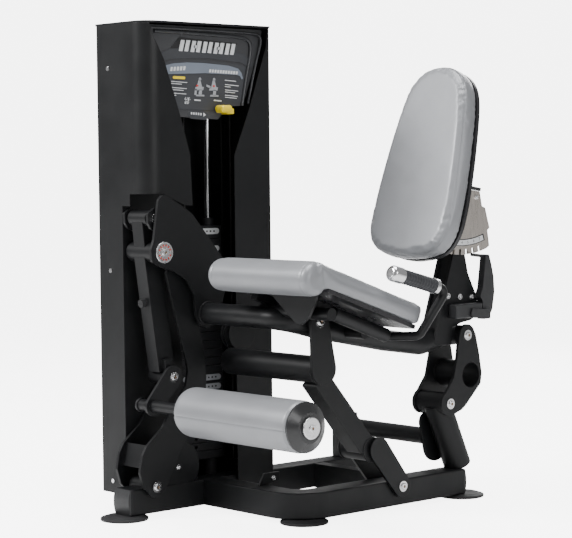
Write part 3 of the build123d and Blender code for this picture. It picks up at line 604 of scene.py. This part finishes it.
def socket(piece, x, y, z, r, out=1):
    """Hexagon recess of a socket head, with a rim."""
    lathe(piece, at(x, y, z), (out, 0, 0), [(0.1, r), (0.5, r), (0.5, r * 0.82), (-1.4, r * 0.7)], 6)


def joint_spot(name):
    pos = next(j for j in frame["joints"] if j["name"] == name)["pos_m"]
    return pos[1] * 1000 + ROW_SHIFT[1], pos[2] * 1000 + ROW_SHIFT[2]


def face_x(node):
    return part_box(node)[1].x * 1000 + ROW_SHIFT[0]


def bolt_details():
    near = {
        "front_link": ("front_link_bolts", ("front_link_swing", "carriage_tilt"), 5.2),
        "boomerang": ("boomerang_bolts", ("boomerang_swing",), 5.2),
        "roller_arm": ("roller_link_bolts", ("roller_link_swing",), 5.0),
        "roller": ("roller_end_disc", ("roller_spin",), 4.6),
        "arm": ("knee_pivot", ("knee_extension",), 4.4),
    }
    for body, (node, joints, r) in near.items():
        piece = Piece()
        for name in joints:
            y, z = joint_spot(name)
            socket(piece, face_x(node) - 0.6, y, z, r)
        rides = {"arm": "carriage", "roller": "roller_arm"}.get(body, body)
        piece.make(body + "_sockets", SOCKET, rides)
    piece = Piece()
    for y, z in (joint_spot("rear_link_swing"), REAR_TOP):
        socket(piece, face_x("rear_link_bolts") - 0.6, y, z, 5.2)
    piece.make("rear_link_sockets", SOCKET, "rear_link")


REAR_TOP = (906.6, 503.2)
bolt_details()


# ---------------------------------------------------------------- knee disc marks

def knee_marks():
    y, z = joint_spot("knee_extension")
    marks = Piece()
    for arc in range(2):
        for i in range(6):
            a = math.radians(22 + 180 * arc + i * 27)
            mid = (y + 20.5 * math.cos(a), z + 20.5 * math.sin(a))
            tip = (math.cos(a), math.sin(a))
            side = (-tip[1], tip[0])
            outline = [(mid[0] + tip[0] * u + side[0] * v, mid[1] + tip[1] * u + side[1] * v)
                       for u, v in ((-2.6, -1.6), (2.6, -2.0), (2.6, 2.0), (-2.6, 1.6))]
            prism(marks, outline, KNEE_FACE, KNEE_FACE + 0.25)
    marks.make("knee_marks", RED, "carriage", smooth=False)
    rings = Piece()
    for radius in (24.5, 15.0, 10.5):
        ring = [at(KNEE_FACE, y + radius * math.cos(a), z + radius * math.sin(a))
                for a in (math.tau * i / 64 for i in range(64))]
        sweep(rings, ring, 0.35, 6, closed=True)
    rings.make("knee_rings", SOCKET, "carriage")


KNEE_FACE = 274.0
knee_marks()


# ---------------------------------------------------------------- hand grip

def hand_grip():
    start, end = at(*GRIP_LINE[0]), at(*GRIP_LINE[1])
    way = end - start
    span = way.length * 1000
    first, last = span * 0.10, span * 0.90

    def tread(along, angle):
        ends = min(along - first, last - along)
        if ends < 6:
            return 0.7
        chevron = math.sin((along + 9 * abs(math.sin(angle * 1.5))) * math.tau / 11)
        panel = 0.9 if math.cos(angle * 3) > -0.55 else -0.6
        return panel + 0.55 * (1 if chevron > 0 else -1)

    count = 120
    profile = [(first, GRIP_END_R)]
    profile += [(first + (last - first) * i / count, GRIP_R) for i in range(count + 1)]
    profile.append((last, GRIP_END_R))
    grip = Piece()
    lathe(grip, start, way, profile, 96, tread)
    cover = grip.make("grip_cover", GRIP, "carriage")
    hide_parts("hand_grip")


GRIP_LINE = ((868, 548, 677), (868, 388, 719))
GRIP_R = 19.9
GRIP_END_R = 15
hand_grip()


# ---------------------------------------------------------------- weld beads

def bead(piece, centre, axis, radius, width=3.0, start=0, turn=360):
    axis, side, other = cross_axes(axis)
    count = max(12, int(radius * turn / 360 * 3.2))
    points = []
    for i in range(count + (0 if turn == 360 else 1)):
        a = math.radians(start + turn * i / count)
        points.append(centre + (side * math.cos(a) + other * math.sin(a)) * radius / 1000)
    sweep(piece, points, width, 8, closed=turn == 360, ripple=0.16)


def welds():
    carriage = Piece()
    bead(carriage, at(268.5, *BEAM_END), X_AXIS, 33)
    bead(carriage, at(FAR_FACE + 1, 292.5, 581.3), X_AXIS, 28, 2)
    carriage.make("carriage_welds", FRAME_COAT, "carriage")
    links = Piece()
    bead(links, at(NEAR_FACE, *LINK_TUBE), X_AXIS, 40, 2.6)
    for x in (FAR_FACE, NEAR_FACE):
        bead(links, at(x, *LINK_FOOT), X_AXIS, 35.5, 2.6)
    links.make("front_link_welds", FRAME_COAT, "front_link")
    rear = Piece()
    for x in (FAR_FACE, NEAR_FACE):
        bead(rear, at(x, *REAR_HOLE), X_AXIS, 42.5, 2.4)
    rear.make("rear_link_welds", FRAME_COAT, "rear_link")


FAR_FACE = 540.5
NEAR_FACE = 644.5
BEAM_END = (200, 592)
LINK_TUBE = (302, 442)
LINK_FOOT = (505, 192)
REAR_HOLE = (921, 380)
welds()


# ---------------------------------------------------------------- placard

def badge():
    base = Piece()
    prism(base, [(118, 1372), (156, 1408), (196, 1404), (378, 1396), (342, 1353), (178, 1346), (160, 1360)],
          PANEL_FACE - 0.5, BADGE_FACE)
    base.make("placard_badge", BLACK, "base", smooth=False)
    letters = Piece()
    for i in range(5):
        y = 150 + i * 44
        low = 1366 - i * 1.2
        for reach in (0, 21):
            stroke = slab(y + reach, y + reach + 14, low, low + 33, 9, -0.045)
            prism(letters, stroke, BADGE_FACE, BADGE_FACE + 1.2)
        if i % 2:
            prism(letters, slab(y + 12, y + 26, low + 12, low + 20, 3, -0.045), BADGE_FACE, BADGE_FACE + 1.2)
    for i in range(9):
        y = 222 + i * 11
        prism(letters, slab(y, y + 6, 1356 - i * 0.4, 1362 - i * 0.4, 2), BADGE_FACE, BADGE_FACE + 0.6)
    letters.make("placard_bars", WHITE, "base", smooth=False)


def header():
    band = Piece()
    top = [(98, 1322), (130, 1329), (180, 1333), (244, 1333), (300, 1330), (340, 1328), (378, 1320)]
    tip = [(392, 1308), (398, 1290), (392, 1288), (386, 1298)]
    prism(band, top + tip + [(372, 1301), (250, 1303), (110, 1297)], SHEET_FACE - 0.1, HEADER_FACE - 0.1)
    band.make("placard_header", HEADER, "base", smooth=False)


def ink_rows(ink, y, rows, gap, lean):
    """Short printed lines; rows holds each block's top height and its line lengths."""
    for top, lengths in rows:
        for k, length in enumerate(lengths):
            z = top - k * gap
            prism(ink, slab(y, y + length, z, z + 2.2, 0, lean), SHEET_FACE, SHEET_FACE + INK)


def sheet_print():
    ink = Piece()
    for i in range(5):
        y = 116 + i * 12
        prism(ink, slab(y, y + 8, 1306 + i * 0.9, 1318 + i * 0.9, 3), HEADER_FACE, HEADER_FACE + INK)
    for i in range(11):
        y = 264 + i * 10.4
        prism(ink, slab(y, y + 7.4, 1306 - i * 0.35, 1315 - i * 0.35, 2), HEADER_FACE, HEADER_FACE + INK)
    ink_rows(ink, 120, ((1275, (60, 40)), (1257, (58, 46)), (1241, (56, 18))), 6, -0.04)
    ink_rows(ink, 326, ((1283, (44,)), (1270, (54, 22)), (1254, (52, 40)), (1238, (50, 46))), 6, -0.06)
    for y, length in ((207, 24), (282, 30)):
        prism(ink, slab(y, y + length, 1221, 1225, 0, -0.05), SHEET_FACE, SHEET_FACE + INK)
    grid = random.Random(3)
    for i in range(8):
        for k in range(8):
            if grid.random() < 0.55:
                y, z = 170 + i * 2.7, 1211 + k * 2.4
                prism(ink, slab(y, y + 2.7, z, z + 2.4), SHEET_FACE, SHEET_FACE + INK)
    ink.make("placard_ink", WHITE, "base", smooth=False)


def seated_figure(piece, y, kick):
    """A plain figure on a seat, with the shin down or kicked up."""
    shapes = [[(y + 10, 1262), (y + 16, 1282), (y + 24, 1283), (y + 30, 1262)],
              round_bar(y + 17, y + 27, 1280, 1290),
              slab(y + 2, y + 34, 1252, 1262, 3),
              slab(y + 6, y + 38, 1234, 1239),
              slab(y + 16, y + 28, 1238, 1254, 2),
              slab(y - 8, y + 8, 1263, 1270, 0, -0.3) if kick else slab(y, y + 8, 1238, 1256, 2)]
    for outline in shapes:
        prism(piece, outline, SHEET_FACE, SHEET_FACE + INK)


def sheet_pictures():
    figures = Piece()
    seated_figure(figures, 207, False)
    seated_figure(figures, 262, True)
    figures.make("placard_figures", GREY, "base", smooth=False)
    dots = Piece()
    for y in (214, 278):
        prism(dots, round_bar(y, y + 9, 1263, 1268), SHEET_FACE + INK, SHEET_FACE + 2 * INK)
    dots.make("placard_dots", RED, "base", smooth=False)
    tag = Piece()
    prism(tag, round_bar(126, 173, 1284, 1292, -0.02), SHEET_FACE, SHEET_FACE + INK)
    tag.make("placard_tag", YELLOW, "base", smooth=False)


def arrow_sign():
    label = Piece()
    prism(label, round_bar(184, 262, 1168, 1194, -0.06), PANEL_FACE - 0.4, PANEL_FACE + 0.4)
    label.make("arrow_label", SHEET, "base", smooth=False)
    sign = Piece()
    for i in range(5):
        y = 194 + i * 9
        prism(sign, slab(y, y + 5, 1180 - i * 0.6, 1187 - i * 0.6), PANEL_FACE + 0.5, PANEL_FACE + 0.8)
    prism(sign, [(242, 1174), (242, 1186), (252, 1179)], PANEL_FACE + 0.5, PANEL_FACE + 0.8)
    sign.make("arrow_sign", WHITE, "base", smooth=False)


def panel_rim():
    rim = Piece()
    inner = [(58, 1421), (120, 1421), (240, 1419), (360, 1416), (402, 1413)]
    inner += [(424, 1404), (430, 1388), (424, 1350), (406, 1280), (392, 1208)]
    outer = [(40, 1431), (200, 1431), (380, 1429), (448, 1427)]
    outer += [(466, 1418), (466, 1396), (446, 1340), (412, 1214)]
    for path, x, radius in ((inner, 209, 5.5), (outer, 214, 4.0)):
        sweep(rim, smooth_path([at(x, y, z) for y, z in path]), radius, 12)
    rim.make("placard_rim", RIM, "base")


def smooth_path(points, rounds=3):
    """Cuts the corners off a polyline."""
    for _ in range(rounds):
        cut = [points[0]]
        for a, b in zip(points, points[1:]):
            cut += [a.lerp(b, 0.25), a.lerp(b, 0.75)]
        points = cut + [points[-1]]
    return points


PANEL_FACE = 206.5
BADGE_FACE = 207.5
SHEET_FACE = 208.5
HEADER_FACE = 209.0
INK = 0.3
badge()
header()
sheet_print()
sheet_pictures()
arrow_sign()
panel_rim()


# ---------------------------------------------------------------- stack labels

def stack_labels(name, mat, body, heights):
    """Pale strips with a row of dark marks, one on the edge of each plate named by its height."""
    labels = Piece()
    marks = Piece()
    for z in heights:
        prism(labels, round_bar(222, 372, z - 9, z + 9), STACK_FACE, STACK_FACE + 0.6)
        for i in range(9):
            y = 236 + i * 14
            prism(marks, slab(y, y + 6, z - 2.5, z + 2.5), STACK_FACE + 0.6, STACK_FACE + 0.8)
    labels.make(name, mat, body, smooth=False)
    marks.make(name + "_marks", BLACK, body, smooth=False)


STACK_FACE = 118.0
stack_labels("head_labels", WHITE, "lifted_weights", (828, 775))
stack_labels("plate_labels", GREY, "base", (380, 352))


# ---------------------------------------------------------------- seat angle numbers

def digit(text, size, centre, turn, thickness):
    """A numeral as a mesh lying in a YZ plane, read from +X."""
    curve = bpy.data.curves.new("numeral", "FONT")
    curve.body = text
    curve.size = size
    curve.align_x = "CENTER"
    curve.align_y = "CENTER"
    curve.extrude = thickness / 2
    shape = bpy.data.objects.new("numeral", curve)
    bpy.context.collection.objects.link(shape)
    graph = bpy.context.evaluated_depsgraph_get()
    mesh = bpy.data.meshes.new_from_object(shape.evaluated_get(graph))
    bpy.data.objects.remove(shape)
    flat = Matrix(((0, 0, 1), (1, 0, 0), (0, 1, 0))).to_4x4()
    mesh.transform(Matrix.Translation(centre) @ Matrix.Rotation(turn, 4, "X") @ flat)
    return [v.co.copy() for v in mesh.vertices], [tuple(p.vertices) for p in mesh.polygons]


def number_strip():
    pivot = joint_spot("back_pad_adjust")

    def arc(radius, angle):
        a = math.radians(angle)
        return pivot[0] + radius * math.sin(a), pivot[1] - radius * math.cos(a)

    angles = [-26 + 43 * i / 28 for i in range(29)]
    strip = Piece()
    outline = [arc(309.5, a) for a in angles] + [arc(293.5, a) for a in reversed(angles)]
    prism(strip, outline, STRIP_FACE, STRIP_FACE + 0.3)
    strip.make("number_strip", WHITE, "backrest", smooth=False)
    numbers = Piece()
    for i in range(7):
        angle = 2.5 + 5 * (i - 4)
        y, z = arc(301.5, angle + 1.2)
        spot = at(STRIP_FACE + 0.45, y, z)
        numbers.add(*digit(str(i + 1), 0.0125, spot, math.radians(angle), 0.0002))
    numbers.make("strip_numbers", BLACK, "backrest", smooth=False)


STRIP_FACE = 639.5
number_strip()


# ---------------------------------------------------------------- studio

def studio():
    floor_look = Look("studio_floor", (0.92, 0.92, 0.92), 0.8)
    floor_look.set("Emission Color", (1, 1, 1, 1))
    path = floor_look.tree.nodes.new("ShaderNodeLightPath").outputs["Is Camera Ray"]
    glow = floor_look.tree.nodes.new("ShaderNodeMapRange")
    glow.inputs["To Min"].default_value = GLOW_ON_OBJECT
    glow.inputs["To Max"].default_value = GLOW_IN_VIEW
    floor_look.link(path, glow.inputs["Value"])
    floor_look.link(glow.outputs["Result"], floor_look.bsdf.inputs["Emission Strength"])
    wide, near, deep, tall, bend = 30.0, -20.0, 14.0, 9.0, 3.0
    view = math.radians(48)
    away = Vector((-math.sin(view), math.cos(view), 0))
    side = Vector((math.cos(view), math.sin(view), 0))
    line = [(near, 0.0)]
    for i in range(13):
        a = math.radians(90 * i / 12)
        line.append((deep + bend * math.sin(a), bend - bend * math.cos(a)))
    line.append((deep + bend, tall))
    verts = []
    for d, z in line:
        for s in (-wide, wide):
            verts.append(tuple(away * d + side * s + Vector((0, 0, z))))
    mesh = bpy.data.meshes.new("studio_sweep")
    mesh.from_pydata(verts, [], [(2 * i, 2 * i + 1, 2 * i + 3, 2 * i + 2) for i in range(len(line) - 1)])
    mesh.polygons.foreach_set("use_smooth", [True] * len(mesh.polygons))
    mesh.materials.append(floor_look.mat)
    floor = bpy.data.objects.new("studio_sweep", mesh)
    bpy.context.collection.objects.link(floor)

    world = bpy.data.worlds.new("studio")
    world.use_nodes = True
    world.node_tree.nodes["Background"].inputs["Color"].default_value = (1, 1, 1, 1)
    world.node_tree.nodes["Background"].inputs["Strength"].default_value = 0.34
    bpy.context.scene.world = world


def area_light(name, spot, target, size, watts):
    lamp = bpy.data.lights.new(name, "AREA")
    lamp.shape = "RECTANGLE"
    lamp.size, lamp.size_y = size
    lamp.energy = watts
    obj = bpy.data.objects.new(name, lamp)
    bpy.context.collection.objects.link(obj)
    obj.location = spot
    obj.rotation_mode = "QUATERNION"
    obj.rotation_quaternion = (Vector(target) - Vector(spot)).to_track_quat("-Z", "Y")


def camera():
    azimuth, down, roll = (math.radians(v) for v in CAMERA_ANGLES)
    level = Vector((math.sin(azimuth), -math.cos(azimuth), 0))
    back_way = level * math.cos(down) + Vector((0, 0, math.sin(down)))
    right = Vector((math.cos(azimuth), math.sin(azimuth), 0))
    up = back_way.cross(right)
    x = right * math.cos(roll) + up * math.sin(roll)
    y = up * math.cos(roll) - right * math.sin(roll)
    data = bpy.data.cameras.new("camera")
    data.lens = 120.4
    data.sensor_width = 36.0
    data.clip_end = 100
    obj = bpy.data.objects.new("camera", data)
    bpy.context.collection.objects.link(obj)
    turn = Matrix((x, y, back_way)).transposed().to_4x4()
    obj.matrix_world = Matrix.Translation(at(*CAMERA_SPOT)) @ turn
    bpy.context.scene.camera = obj


GLOW_ON_OBJECT = 0.1
GLOW_IN_VIEW = 5.5
CAMERA_SPOT = (4624.2, -3396.6, 1021.5)
CAMERA_ANGLES = (48.102, 3.051, -0.586)
studio()
area_light("key", (-2.2, -4.2, 3.8), (0, 0, 0.7), (1.8, 1.8), 330)
area_light("fill", (5.2, -0.6, 2.2), (0, 0, 0.7), (2.0, 2.0), 70)
area_light("top", (0.3, -0.3, 4.2), (0, 0, 0.5), (2.6, 2.6), 190)
area_light("rim", (-1.8, 4.2, 2.6), (0, 0, 0.8), (2.0, 2.0), 90)
camera()
